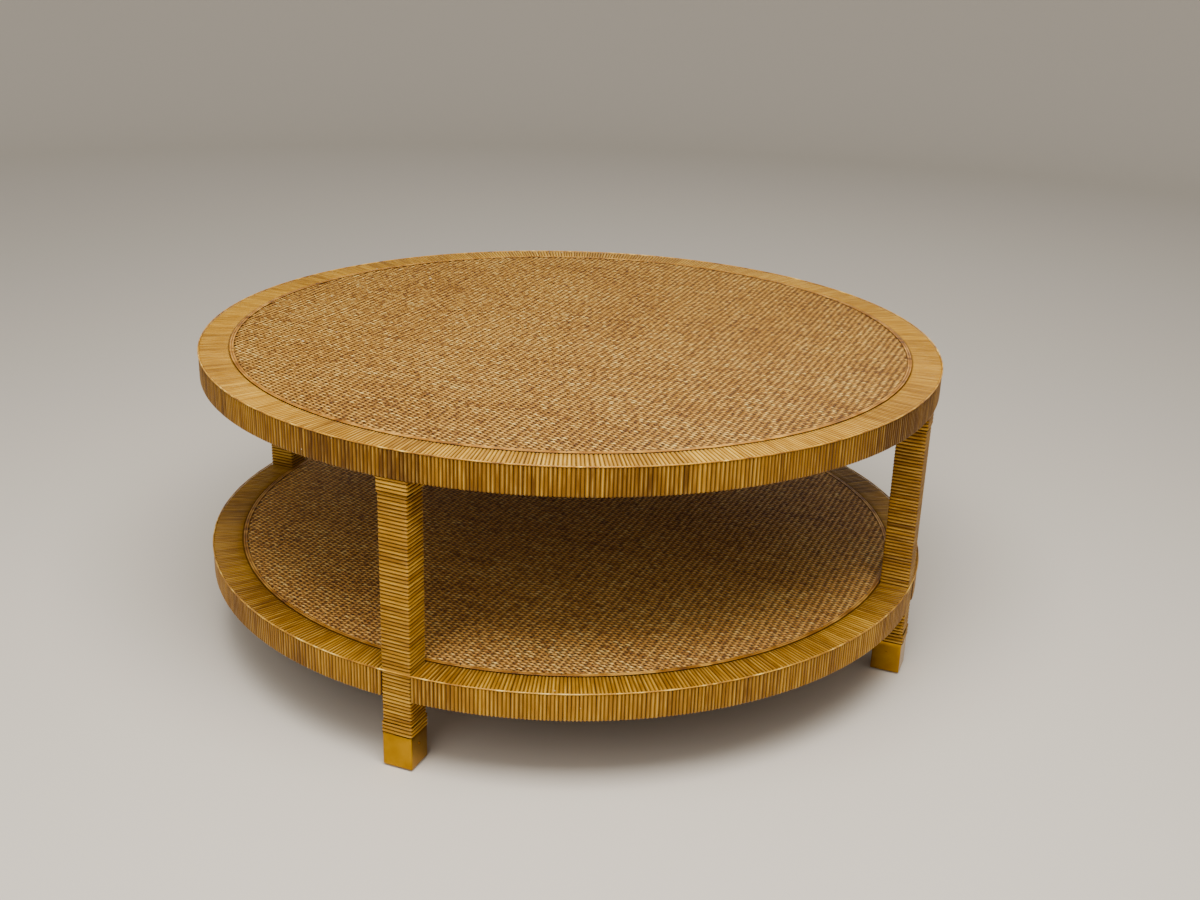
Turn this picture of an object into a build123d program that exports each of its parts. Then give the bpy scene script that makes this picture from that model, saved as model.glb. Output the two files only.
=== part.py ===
"""Round two-tier coffee table: plywood decks wrapped in half-round reed, woven centre mats,
four reed-wrapped posts let into notches in the shelf, and square brass shoes.

Millimetres, +Z up. The origin is on the floor under the middle of the table.
The legs stand on the X and Y axes: front is -Y, right is +X, back is +Y and left is -X.
"""

import math
import os
from collections import namedtuple

from build123d import *

os.makedirs("parts", exist_ok=True)

# ---- Driving dimensions ----

OVERALL_DIAMETER = 1066.8  # 42 in, over the bead on the top's edge
OVERALL_HEIGHT = 431.8  # 17 in, over the same bead
SHELF_BEAD_PATH_RADIUS = 531.0
SHELF_TOP = 137.5  # floor to the shelf's upper face

REED_THICKNESS = 2.5  # half-round reed and woven mat, lying on a tier
DECK_THICKNESS = 18.0
RIM_THICKNESS = 15.5
RIM_INNER_RADIUS = 470.0
RIM_SEGMENTS = 8
RIM_JOINT_GAP = 0.2  # glue line between neighbouring segments
TOP_SEAM_RADIUS = 487.5  # to the middle of the cane strip, where mat and border meet
SHELF_SEAM_RADIUS = 485.0
EDGE_ROUND = 3.0  # how the reed turns over an edge
BEAD_RADIUS = 0.9
BEAD_GAP = 0.05
BEAD_RUN_SPARE = 1.0  # the shelf's bead runs straight this far past a leg's sides
BEAD_BUTT_GAP = 0.1
STRIP_WIDTH = 6.0
STRIP_THICKNESS = 1.1
STRIP_PROUD = 0.5
STRIP_ROUND = 0.4

LEG_WIDTH = 40.8  # over the reed
LEG_REED = 2.4
WRAP_CORNER = 3.0
WRAP_PITCH = 4.93
COLLAR_PROUD = 1.1
TOP_COLLAR_TURNS = 4
BOTTOM_COLLAR_TURNS = 3
NOTCH_GAP = 0.4  # between a leg's reed and the shelf
POST_FIT = 0.1  # between a post and the brass or reed it passes into

CAP_TOP = 48.0
CAP_WALL = 1.6
CAP_CORNER = 2.0
CAP_EDGE_ROUND = 0.8
GLIDE_HEIGHT = 2.5
GLIDE_RADIUS = 12.0
GLIDE_EDGE_ROUND = 0.6
GLIDE_RECESS_RADIUS = 4.0
GLIDE_RECESS_DEPTH = 1.7

BATTEN_WIDTH = 60.0
BATTEN_END_GAP = 0.3
BLOCK_WIDTH = 38.0
BLOCK_LENGTH = 40.0
BLOCK_HEIGHT = 30.0
BLOCK_CHAMFER = 3.0

HOLE_GAP = 0.15  # clearance round a fastener
HOLE_SPARE_DEPTH = 1.0
SCREW_HEAD_RADIUS = 4.8
SCREW_RADIUS = 2.4
SCREW_SLOT = 1.0
LEG_SCREW_LENGTH = 68.0
LEG_SCREW_SPACING = 18.0
BATTEN_SCREW_LENGTH = 26.0
BATTEN_SCREW_RADII = (140.0, 400.0)
BLOCK_LEG_SCREW_LENGTH = 66.0
BLOCK_LEG_SCREW_RISE = 6.5  # above the block's lower face
BLOCK_DECK_SCREW_LENGTH = 42.0
BLOCK_DECK_SCREW_SPACING = 22.0
SCREW_CONE_ANGLE = 90
BRAD_COUNT = 24
BRAD_RADIUS = 0.6
BRAD_HEAD_RADIUS = 1.1
BRAD_HEAD = 0.3
BRAD_LENGTH = 12.0
BRAD_INSET = 1.5  # from the seam in to the brads
CAP_PIN_HEIGHT = 31.0
CAP_PIN_RADIUS = 0.9
CAP_PIN_HEAD_RADIUS = 1.7
CAP_PIN_HEAD = 0.7
CAP_PIN_LENGTH = 11.0
NAIL_RADIUS = 1.3
NAIL_HEAD_RADIUS = 3.4
NAIL_HEAD = 0.9
NAIL_LENGTH = 20.0

# ---- Worked out from those ----

BEAD_INSET = EDGE_ROUND - (EDGE_ROUND + BEAD_GAP + BEAD_RADIUS) / math.sqrt(2)
BEAD_PROUD = BEAD_RADIUS - BEAD_INSET
TOP_TOP = OVERALL_HEIGHT - BEAD_PROUD
TOP_RADIUS = OVERALL_DIAMETER / 2 - BEAD_PROUD
SHELF_RADIUS = SHELF_BEAD_PATH_RADIUS + BEAD_INSET
TIER_THICKNESS = 2 * REED_THICKNESS + DECK_THICKNESS + RIM_THICKNESS

Tier = namedtuple("Tier", "radius seam top")
TOP = Tier(TOP_RADIUS, TOP_SEAM_RADIUS, TOP_TOP)
SHELF = Tier(SHELF_RADIUS, SHELF_SEAM_RADIUS, SHELF_TOP)

BEAD_RUN_HALF = LEG_WIDTH / 2 + BEAD_RUN_SPARE
BEAD_RUN_RADIUS = math.sqrt(SHELF_BEAD_PATH_RADIUS**2 - BEAD_RUN_HALF**2)
LEG_FACE = BEAD_RUN_RADIUS - BEAD_RADIUS - BEAD_GAP
LEG_RADIUS = LEG_FACE - LEG_WIDTH / 2
LEG_BACK = LEG_RADIUS - LEG_WIDTH / 2
NOTCH_WIDTH = LEG_WIDTH + 2 * NOTCH_GAP
NOTCH_BACK = LEG_BACK - NOTCH_GAP
POST_WIDTH = LEG_WIDTH - 2 * LEG_REED
POST_TOP = TOP_TOP - TIER_THICKNESS + REED_THICKNESS
POST_BOTTOM = GLIDE_HEIGHT + CAP_WALL
FOOT_WIDTH = LEG_WIDTH - 2 * CAP_WALL - 2 * POST_FIT
WRAP_TOP = TOP_TOP - TIER_THICKNESS
TOP_COLLAR_BASE = WRAP_TOP - TOP_COLLAR_TURNS * WRAP_PITCH
BOTTOM_COLLAR_TOP = CAP_TOP + BOTTOM_COLLAR_TURNS * WRAP_PITCH
SOCKET_WIDTH = POST_WIDTH + 2 * POST_FIT

BLOCK_TOP = SHELF_TOP - REED_THICKNESS - DECK_THICKNESS
BLOCK_BOTTOM = BLOCK_TOP - BLOCK_HEIGHT
BLOCK_FRONT = NOTCH_BACK
BLOCK_BACK = BLOCK_FRONT - BLOCK_LENGTH

LEG_ANGLES = {"right": 0, "back": 90, "left": 180, "front": 270}
QUARTER_ANGLES = {"back_right": 0, "back_left": 90, "front_left": 180, "front_right": 270}


# ---- Helpers ----


def polar(radius, angle, z, across=0.0):
    """A point at a radius out along an angle, and across to its left."""
    return Vector(radius, across, z).rotate(Axis.Z, angle)


def save(builder, label):
    """Labels a finished piece and writes it as one STEP file."""
    builder.part.label = label
    export_step(builder.part, f"parts/{label}.step")


def save_turned(builder, label, angle):
    """Writes a copy of a piece, turned about the table's axis."""
    with BuildPart() as turned:
        with Locations(Location((0, 0, 0), (0, 0, angle))):
            add(builder.part)
    save(turned, label)


def save_group(piece, places, label):
    """Writes copies of one fastener, each a separate solid, as one node."""
    with BuildPart() as group:
        with Locations(*places):
            add(piece.part)
    save(group, label)


def leg_slots(inner_radius):
    """Four slots as wide as a notch, from a radius out past the edge, in the open sketch."""
    length = OVERALL_DIAMETER - inner_radius
    with PolarLocations(inner_radius + length / 2, len(LEG_ANGLES)):
        Rectangle(length, NOTCH_WIDTH)


def lathe(*points):
    """Turns a closed outline of (radius, height) points about the table's axis."""
    with BuildSketch(Plane.XZ) as outline:
        with BuildLine():
            Polyline(*points, close=True)
        make_face()
    revolve(outline.sketch, axis=Axis.Z)


def make_screw(length):
    """A slotted countersunk wood screw: the head's face at the origin, the point towards -Z."""
    cone = SCREW_HEAD_RADIUS - SCREW_RADIUS
    slot_length = 2 * SCREW_HEAD_RADIUS
    with BuildPart() as screw:
        lathe(
            (0, 0),
            (SCREW_HEAD_RADIUS, 0),
            (SCREW_RADIUS, -cone),
            (SCREW_RADIUS, cone - length),
            (0, -length),
        )
        with Locations((0, 0, -SCREW_SLOT / 2)):
            Box(slot_length, SCREW_SLOT, SCREW_SLOT, mode=Mode.SUBTRACT)
    return screw


def make_nail(radius, length, head_radius, head):
    """A flat-headed nail: the head's underside at the origin, the point towards -Z."""
    with BuildPart() as nail:
        Cylinder(radius, length, align=(Align.CENTER, Align.CENTER, Align.MAX))
        Cylinder(head_radius, head, align=(Align.CENTER, Align.CENTER, Align.MIN))
    return nail


def hole_for(radius, length):
    """A blind hole that clears a fastener of that radius and length."""
    Hole(radius + HOLE_GAP, length + HOLE_SPARE_DEPTH)


def countersink_through(thickness):
    """A countersunk screw hole right through a piece."""
    CounterSinkHole(
        SCREW_RADIUS + HOLE_GAP,
        SCREW_HEAD_RADIUS + HOLE_GAP,
        thickness + HOLE_SPARE_DEPTH,
        SCREW_CONE_ANGLE,
    )


# ---- Where the fasteners go: each place's -Z runs into the wood ----

UPSIDE_DOWN = (180, 0, 0)

leg_screw_places = [
    Location(polar(LEG_RADIUS + side * LEG_SCREW_SPACING / 2, angle, TOP_TOP - REED_THICKNESS))
    for angle in LEG_ANGLES.values()
    for side in (-1, 1)
]
block_deck_places = [
    Location(
        polar(
            (BLOCK_FRONT + BLOCK_BACK) / 2,
            angle,
            BLOCK_BOTTOM,
            side * BLOCK_DECK_SCREW_SPACING / 2,
        ),
        UPSIDE_DOWN,
    )
    for angle in LEG_ANGLES.values()
    for side in (-1, 1)
]
block_leg_places = [
    Location(
        Plane(
            origin=polar(BLOCK_BACK, angle, BLOCK_BOTTOM + BLOCK_LEG_SCREW_RISE),
            x_dir=(0, 0, 1),
            z_dir=polar(-1, angle, 0),
        )
    )
    for angle in LEG_ANGLES.values()
]
cap_pin_places = [
    Location(
        Plane(
            origin=polar(LEG_RADIUS, angle, CAP_PIN_HEIGHT, side * LEG_WIDTH / 2),
            x_dir=(0, 0, 1),
            z_dir=polar(0, angle, 0, side),
        )
    )
    for angle in LEG_ANGLES.values()
    for side in (-1, 1)
]
glide_nail_places = [
    Location(polar(LEG_RADIUS, angle, GLIDE_RECESS_DEPTH), UPSIDE_DOWN)
    for angle in LEG_ANGLES.values()
]


def rim_base(tier):
    """The height of the underside of a tier's rim and battens."""
    return tier.top - REED_THICKNESS - DECK_THICKNESS - RIM_THICKNESS


def batten_screw_places(tier):
    """Two under each arm of a tier's battens, heads down."""
    return [
        Location(polar(radius, angle, rim_base(tier)), UPSIDE_DOWN)
        for angle in LEG_ANGLES.values()
        for radius in BATTEN_SCREW_RADII
    ]


def brad_places(tier):
    """Evenly round the cane strip, half a step off the legs."""
    radius = tier.seam - BRAD_INSET
    step = 360 / BRAD_COUNT
    z = tier.top + STRIP_PROUD
    return [Location(polar(radius, step * (n + 0.5), z)) for n in range(BRAD_COUNT)]


# ---- The woodwork of a tier ----


def make_deck(tier):
    """A plywood disc, drilled for the brads and the batten screws."""
    with BuildPart() as deck:
        with BuildSketch(Plane.XY.offset(tier.top - REED_THICKNESS - DECK_THICKNESS)):
            Circle(tier.radius - REED_THICKNESS)
        extrude(amount=DECK_THICKNESS)
        with Locations(*brad_places(tier)):
            hole_for(BRAD_RADIUS, BRAD_LENGTH)
        with Locations(*batten_screw_places(tier)):
            hole_for(SCREW_RADIUS, BATTEN_SCREW_LENGTH)
    return deck


def make_rim(tier, first_joint):
    """A ring of sawn segments glued under a deck's edge."""
    with BuildPart() as rim:
        with BuildSketch(Plane.XY.offset(rim_base(tier))):
            Circle(tier.radius - REED_THICKNESS)
            Circle(RIM_INNER_RADIUS, mode=Mode.SUBTRACT)
            with PolarLocations(tier.radius / 2, RIM_SEGMENTS, start_angle=first_joint):
                Rectangle(tier.radius, RIM_JOINT_GAP, mode=Mode.SUBTRACT)
        extrude(amount=RIM_THICKNESS)
    return rim


def save_battens(tier, length, tier_name):
    """Two crossing battens, halved into each other where they cross."""
    base = rim_base(tier)
    lap_bases = {"left_right": base + RIM_THICKNESS / 2, "front_back": base}
    turns = {"left_right": 0, "front_back": 90}
    for direction, lap_base in lap_bases.items():
        with BuildPart() as batten:
            with BuildSketch(Plane.XY.offset(base)):
                Rectangle(length, BATTEN_WIDTH, rotation=turns[direction])
                Circle(RIM_INNER_RADIUS - BATTEN_END_GAP, mode=Mode.INTERSECT)
            extrude(amount=RIM_THICKNESS)
            with BuildSketch(Plane.XY.offset(lap_base)):
                Rectangle(BATTEN_WIDTH, BATTEN_WIDTH)
            extrude(amount=RIM_THICKNESS / 2, mode=Mode.SUBTRACT)
            with Locations(*batten_screw_places(tier)):
                countersink_through(RIM_THICKNESS)
        save(batten, f"{tier_name}_batten_{direction}")


# ---- The reed, mat and strip of a tier ----


def make_edge_wrap(tier):
    """The reed border: out from the seam, over the edge, down the rim and back underneath."""
    strip_outer = tier.seam + STRIP_WIDTH / 2
    strip_bed = tier.top - STRIP_THICKNESS + STRIP_PROUD
    core = tier.radius - REED_THICKNESS
    core_top = tier.top - REED_THICKNESS
    base = tier.top - TIER_THICKNESS
    core_base = base + REED_THICKNESS
    with BuildPart() as wrap:
        with BuildSketch(Plane.XZ):
            with BuildLine():
                Polyline(
                    (tier.seam, core_top),
                    (tier.seam, strip_bed),
                    (strip_outer, strip_bed),
                    (strip_outer, tier.top),
                    (tier.radius, tier.top),
                    (tier.radius, base),
                    (tier.seam, base),
                    (tier.seam, core_base),
                    (core, core_base),
                    (core, core_top),
                    close=True,
                )
            profile = make_face()
            fillet(profile.vertices().group_by(Axis.X)[-1], EDGE_ROUND)
        revolve(axis=Axis.Z)
    return wrap


def make_mat(tier):
    """The woven centre panel, stepped down under the cane strip."""
    strip_inner = tier.seam - STRIP_WIDTH / 2
    strip_bed = tier.top - STRIP_THICKNESS + STRIP_PROUD
    base = tier.top - REED_THICKNESS
    with BuildPart() as mat:
        lathe(
            (0, base),
            (tier.seam, base),
            (tier.seam, strip_bed),
            (strip_inner, strip_bed),
            (strip_inner, tier.top),
            (0, tier.top),
        )
        with Locations(*brad_places(tier)):
            hole_for(BRAD_RADIUS, BRAD_LENGTH)
    return mat


def make_strip(tier):
    """The flat cane strip that covers the seam between the mat and the border."""
    with BuildPart() as strip:
        with BuildSketch(Plane.XY.offset(tier.top + STRIP_PROUD - STRIP_THICKNESS)):
            Circle(tier.seam + STRIP_WIDTH / 2)
            Circle(tier.seam - STRIP_WIDTH / 2, mode=Mode.SUBTRACT)
        extrude(amount=STRIP_THICKNESS)
        fillet(strip.faces().sort_by(Axis.Z)[-1].edges(), STRIP_ROUND)
        with Locations(*brad_places(tier)):
            hole_for(BRAD_RADIUS, BRAD_LENGTH)
    return strip


# ---- The top tier ----

top_deck = make_deck(TOP)
with top_deck:
    with Locations(*leg_screw_places):
        countersink_through(DECK_THICKNESS)
save(top_deck, "top_deck")

top_rim = make_rim(TOP, first_joint=180 / RIM_SEGMENTS)
with top_rim:
    with Locations(*leg_screw_places):
        hole_for(SCREW_RADIUS, LEG_SCREW_LENGTH)
save(top_rim, "top_rim_segments")

save_battens(TOP, 2 * RIM_INNER_RADIUS, "top")

with BuildPart() as top_wrap:
    add(make_edge_wrap(TOP).part)
    with BuildSketch(Plane.XY.offset(WRAP_TOP)):
        with PolarLocations(LEG_RADIUS, len(LEG_ANGLES)):
            Rectangle(SOCKET_WIDTH, SOCKET_WIDTH)
    extrude(amount=REED_THICKNESS, mode=Mode.SUBTRACT)
save(top_wrap, "top_edge_wrap")

save(make_mat(TOP), "top_woven_mat")
save(make_strip(TOP), "top_cane_strip")

with BuildPart() as top_bead:
    with BuildSketch(Plane.XZ):
        with Locations((TOP.radius - BEAD_INSET, TOP.top - BEAD_INSET)):
            Circle(BEAD_RADIUS)
    revolve(axis=Axis.Z)
save(top_bead, "top_edge_bead")

# ---- The shelf, with a notch in its edge for each leg ----

with BuildPart() as shelf_deck:
    add(make_deck(SHELF).part)
    with BuildSketch(Plane.XY.offset(BLOCK_TOP)):
        leg_slots(NOTCH_BACK)
    extrude(amount=DECK_THICKNESS, mode=Mode.SUBTRACT)
    with Locations(*block_deck_places):
        hole_for(SCREW_RADIUS, BLOCK_DECK_SCREW_LENGTH)
save(shelf_deck, "shelf_deck")

with BuildPart() as shelf_rim:
    add(make_rim(SHELF, first_joint=0).part)
    with BuildSketch(Plane.XY.offset(rim_base(SHELF))):
        leg_slots(BLOCK_BACK)
    extrude(amount=RIM_THICKNESS, mode=Mode.SUBTRACT)
save(shelf_rim, "shelf_rim_segments")

save_battens(SHELF, 2 * BLOCK_BACK, "shelf")

with BuildPart() as quarter_wrap:
    add(make_edge_wrap(SHELF).part)
    with BuildSketch(Plane.XY.offset(SHELF.top - TIER_THICKNESS)):
        leg_slots(BLOCK_BACK)
    extrude(amount=TIER_THICKNESS, mode=Mode.SUBTRACT)
    with BuildSketch(Plane.XY.offset(SHELF.top - TIER_THICKNESS)):
        Rectangle(SHELF.radius, SHELF.radius, align=(Align.MIN, Align.MIN))
    extrude(amount=TIER_THICKNESS, mode=Mode.INTERSECT)
for quarter, quarter_angle in QUARTER_ANGLES.items():
    save_turned(quarter_wrap, f"shelf_edge_wrap_{quarter}", quarter_angle)

save(make_mat(SHELF), "shelf_woven_mat")
save(make_strip(SHELF), "shelf_cane_strip")

# The shelf's bead is laid in lengths: one round each quarter of the edge between the legs,
# and a short straight one across each leg's outer face.
bead_z = SHELF.top - BEAD_INSET
bead_arc_start = math.degrees(math.asin(BEAD_RUN_HALF / SHELF_BEAD_PATH_RADIUS))
with BuildPart() as bead_arc:
    with BuildSketch(Plane.XZ):
        with Locations((SHELF_BEAD_PATH_RADIUS, bead_z)):
            Circle(BEAD_RADIUS)
    revolve(axis=Axis.Z, revolution_arc=90 - 2 * bead_arc_start)
with BuildPart() as bead_run:
    with Locations(Location((BEAD_RUN_RADIUS, 0, bead_z), (90, 0, 0))):
        Cylinder(BEAD_RADIUS, 2 * (BEAD_RUN_HALF - BEAD_BUTT_GAP))
with BuildPart() as shelf_bead:
    for angle in LEG_ANGLES.values():
        with Locations(Location((0, 0, 0), (0, 0, angle + bead_arc_start))):
            add(bead_arc.part)
        with Locations(Location((0, 0, 0), (0, 0, angle))):
            add(bead_run.part)
save(shelf_bead, "shelf_edge_bead")

# ---- The blocks that tie the shelf to the legs ----

with BuildPart() as block:
    with BuildSketch(Plane.XY.offset(BLOCK_BOTTOM)):
        with Locations(((BLOCK_FRONT + BLOCK_BACK) / 2, 0)):
            Rectangle(BLOCK_LENGTH, BLOCK_WIDTH)
    extrude(amount=BLOCK_HEIGHT)
    low_edges = block.faces().sort_by(Axis.Z)[0].edges()
    chamfer(low_edges.filter_by(Axis.X), BLOCK_CHAMFER)
    with Locations(*block_deck_places):
        countersink_through(BLOCK_HEIGHT)
    with Locations(*block_leg_places):
        countersink_through(BLOCK_LENGTH)
for leg, leg_angle in LEG_ANGLES.items():
    save_turned(block, f"shelf_block_{leg}", leg_angle)

# ---- One leg, on +X, and its turned copies ----

leg_plane = Plane((LEG_RADIUS, 0, 0))


def square_sleeve(base, top, width):
    """A reed sleeve round the post, in the open part."""
    with BuildSketch(leg_plane.offset(base)) as ring:
        RectangleRounded(width, width, WRAP_CORNER)
        Rectangle(POST_WIDTH, POST_WIDTH, mode=Mode.SUBTRACT)
    extrude(ring.sketch, amount=top - base)


with BuildPart() as post:
    with BuildSketch(leg_plane.offset(POST_BOTTOM)):
        Rectangle(FOOT_WIDTH, FOOT_WIDTH)
    extrude(amount=CAP_TOP - POST_BOTTOM)
    with BuildSketch(leg_plane.offset(CAP_TOP)):
        Rectangle(POST_WIDTH, POST_WIDTH)
    extrude(amount=POST_TOP - CAP_TOP)
    with Locations(*leg_screw_places):
        hole_for(SCREW_RADIUS, LEG_SCREW_LENGTH)
    with Locations(*block_leg_places):
        hole_for(SCREW_RADIUS, BLOCK_LEG_SCREW_LENGTH)
    with Locations(*cap_pin_places):
        hole_for(CAP_PIN_RADIUS, CAP_PIN_LENGTH)
    with Locations(*glide_nail_places):
        hole_for(NAIL_RADIUS, NAIL_LENGTH)

with BuildPart() as leg_wrap:
    square_sleeve(BOTTOM_COLLAR_TOP, TOP_COLLAR_BASE, LEG_WIDTH)
    with Locations(*block_leg_places):
        hole_for(SCREW_RADIUS, BLOCK_LEG_SCREW_LENGTH)

with BuildPart() as top_collar:
    square_sleeve(TOP_COLLAR_BASE, WRAP_TOP, LEG_WIDTH + 2 * COLLAR_PROUD)

with BuildPart() as bottom_collar:
    square_sleeve(CAP_TOP, BOTTOM_COLLAR_TOP, LEG_WIDTH + 2 * COLLAR_PROUD)

with BuildPart() as cap:
    with BuildSketch(leg_plane.offset(GLIDE_HEIGHT)):
        RectangleRounded(LEG_WIDTH, LEG_WIDTH, CAP_CORNER)
    extrude(amount=CAP_TOP - GLIDE_HEIGHT)
    fillet(cap.faces().sort_by(Axis.Z)[0].edges(), CAP_EDGE_ROUND)
    with BuildSketch(leg_plane.offset(POST_BOTTOM)):
        Rectangle(LEG_WIDTH - 2 * CAP_WALL, LEG_WIDTH - 2 * CAP_WALL)
    extrude(amount=CAP_TOP - POST_BOTTOM, mode=Mode.SUBTRACT)
    with Locations(*cap_pin_places):
        hole_for(CAP_PIN_RADIUS, CAP_PIN_LENGTH)
    with Locations(*glide_nail_places):
        hole_for(NAIL_RADIUS, NAIL_LENGTH)

with BuildPart() as glide:
    with BuildSketch(leg_plane):
        Circle(GLIDE_RADIUS)
    extrude(amount=GLIDE_HEIGHT)
    fillet(glide.faces().sort_by(Axis.Z)[0].edges(), GLIDE_EDGE_ROUND)
    with BuildSketch(leg_plane):
        Circle(GLIDE_RECESS_RADIUS)
    extrude(amount=GLIDE_RECESS_DEPTH, mode=Mode.SUBTRACT)
    with Locations(*glide_nail_places):
        hole_for(NAIL_RADIUS, NAIL_LENGTH)

LEG_PIECES = {
    "post": post,
    "wrap": leg_wrap,
    "top_collar": top_collar,
    "bottom_collar": bottom_collar,
    "brass_cap": cap,
    "glide": glide,
}
for leg, leg_angle in LEG_ANGLES.items():
    for piece_name, piece in LEG_PIECES.items():
        save_turned(piece, f"leg_{leg}_{piece_name}", leg_angle)

# ---- Fasteners: one node for each kind and job ----

save_group(make_screw(LEG_SCREW_LENGTH), leg_screw_places, "top_leg_screws")
batten_screw = make_screw(BATTEN_SCREW_LENGTH)
save_group(batten_screw, batten_screw_places(TOP), "top_batten_screws")
save_group(batten_screw, batten_screw_places(SHELF), "shelf_batten_screws")
save_group(make_screw(BLOCK_LEG_SCREW_LENGTH), block_leg_places, "shelf_block_leg_screws")
save_group(make_screw(BLOCK_DECK_SCREW_LENGTH), block_deck_places, "shelf_block_deck_screws")
brad = make_nail(BRAD_RADIUS, BRAD_LENGTH, BRAD_HEAD_RADIUS, BRAD_HEAD)
save_group(brad, brad_places(TOP), "top_strip_brads")
save_group(brad, brad_places(SHELF), "shelf_strip_brads")
cap_pin = make_nail(CAP_PIN_RADIUS, CAP_PIN_LENGTH, CAP_PIN_HEAD_RADIUS, CAP_PIN_HEAD)
save_group(cap_pin, cap_pin_places, "brass_cap_pins")
glide_nail = make_nail(NAIL_RADIUS, NAIL_LENGTH, NAIL_HEAD_RADIUS, NAIL_HEAD)
save_group(glide_nail, glide_nail_places, "glide_nails")
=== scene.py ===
import math

import bpy
import numpy as np
from mathutils import Matrix, Vector


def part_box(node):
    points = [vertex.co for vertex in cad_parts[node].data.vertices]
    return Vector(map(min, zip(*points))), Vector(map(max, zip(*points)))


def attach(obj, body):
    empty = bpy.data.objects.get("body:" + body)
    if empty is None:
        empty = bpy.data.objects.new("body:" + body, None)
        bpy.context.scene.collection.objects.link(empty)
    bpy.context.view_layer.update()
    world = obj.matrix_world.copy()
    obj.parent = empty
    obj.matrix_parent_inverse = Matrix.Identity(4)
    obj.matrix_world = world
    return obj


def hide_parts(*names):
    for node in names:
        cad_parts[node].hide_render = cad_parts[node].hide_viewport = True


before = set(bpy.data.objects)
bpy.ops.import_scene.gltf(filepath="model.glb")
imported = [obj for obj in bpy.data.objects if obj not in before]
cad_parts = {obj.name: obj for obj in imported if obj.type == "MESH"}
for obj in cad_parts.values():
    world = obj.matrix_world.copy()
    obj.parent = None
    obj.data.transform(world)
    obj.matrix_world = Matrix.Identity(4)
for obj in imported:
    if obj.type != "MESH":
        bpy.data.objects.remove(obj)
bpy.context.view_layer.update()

# A round two-tier coffee table wrapped in half-round reed. Metres, in the CAD's own frame.
# The wefts, stakes, border reeds, leg wraps, collars, beads and strips are real strands.
# The wood, screws, nails, pins and glides are the CAD's own solids with materials put on them.

rng = np.random.default_rng(42)
MM = 0.001

# ---- Sizes ----

STAKE_PITCH = 8.29 * MM
STAKE_WIDTH = 3.2 * MM
STAKE_TOP = 0.62 * MM  # below the tier's upper face
STAKE_THICKNESS = 0.9 * MM
STAKE_BEND = 0.2 * MM
STAKE_SHORT = 1.0 * MM  # each end stops this far inside the mat's rim
WEFT_PITCH = 3.36 * MM
WEFT_WIDTH = 2.8 * MM
WEFT_SWELL = 0.45 * MM  # wider at the stakes, narrower between them
WEFT_HEIGHT = 0.75 * MM
WEFT_RISE = 0.86 * MM  # half the climb between under and over
WEFT_WANDER = 0.18 * MM
SAMPLES_PER_STAKE = 4
BAND_ROWS = 48  # wefts per piece
DRIFTS = ((260 * MM, 0.9 * MM), (97 * MM, 0.35 * MM))  # wave length and size of the weave's wander
MAT_OVERLAP = 1.2 * MM  # how far the mat runs in under the cane strip
MAT_DIP = 1.1 * MM  # how far its wefts dip there
DIP_START = 0.6 * MM  # in from the mat's rim
DIP_LENGTH = 2.6 * MM

EDGE_ROUND = 3.0 * MM
REED_PITCH = 5.1 * MM
BORDER_GROOVE = 1.45 * MM  # the border's reeds are pressed flatter than the legs'
BORDER_TUCK = ((-0.4 * MM, 1.4 * MM), (0.9 * MM, 1.1 * MM), (2.4 * MM, 0.0))  # past the strip, and depth
TUCK_SHADE = 1.6 * MM  # the depth at which a tucked reed would be fully dark
UNDER_LEG = 20.5 * MM  # a reed this near a leg's middle line stops short under the tier
NOTCH_EASE = 13.0  # degrees over which the reeds beside a leg turn from parallel to it to radial
STRIP_GAP = 0.05 * MM
BEAD_GAP = 0.05 * MM
BEAD_OVERLAP = 0.6 * MM  # how far the bead's straight run passes each side of a leg's notch

LEG_PITCH = 4.93 * MM
LEG_REED_HEIGHT = 2.3 * MM
COLLAR_REED_HEIGHT = 2.6 * MM
TURN_FILL = 0.965  # the share of the pitch that one turn covers
CAP_CORNER = 1.1 * MM
CAP_ROLL = 0.5 * MM
CAP_LIP = 0.3 * MM
CAP_WALL = 1.6 * MM
CAP_DENT = 0.05 * MM

# Sections as (place across, height), each as a share of the strand's own.
HALF_ROUND = ((-1.0, 0.1), (-0.86, 0.5), (-0.5, 0.86), (0.0, 1.0), (0.5, 0.86), (0.86, 0.5), (1.0, 0.1))
WEFT_SECTION = ((-1.0, 0.0), (-0.62, 0.8), (0.0, 1.0), (0.62, 0.8), (1.0, 0.0))

LEG_ANGLES = {"right": 0, "back": 90, "left": 180, "front": 270}
QUARTERS = {"back_right": 0, "back_left": 90, "front_left": 180, "front_right": 270}


# ---- Mesh building ----


def quad_grid(rows, cols, start, closed_rows, closed_cols):
    """Corner numbers of the quads of a grid of points, numbered row by row from start."""
    r = np.arange(rows if closed_rows else rows - 1)
    c = np.arange(cols if closed_cols else cols - 1)
    a, b = (g.ravel() for g in np.meshgrid(r, c, indexing="ij"))
    a2, b2 = (a + 1) % rows, (b + 1) % cols
    return start + np.stack([a * cols + b, a2 * cols + b, a2 * cols + b2, a * cols + b2], -1)


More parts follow.
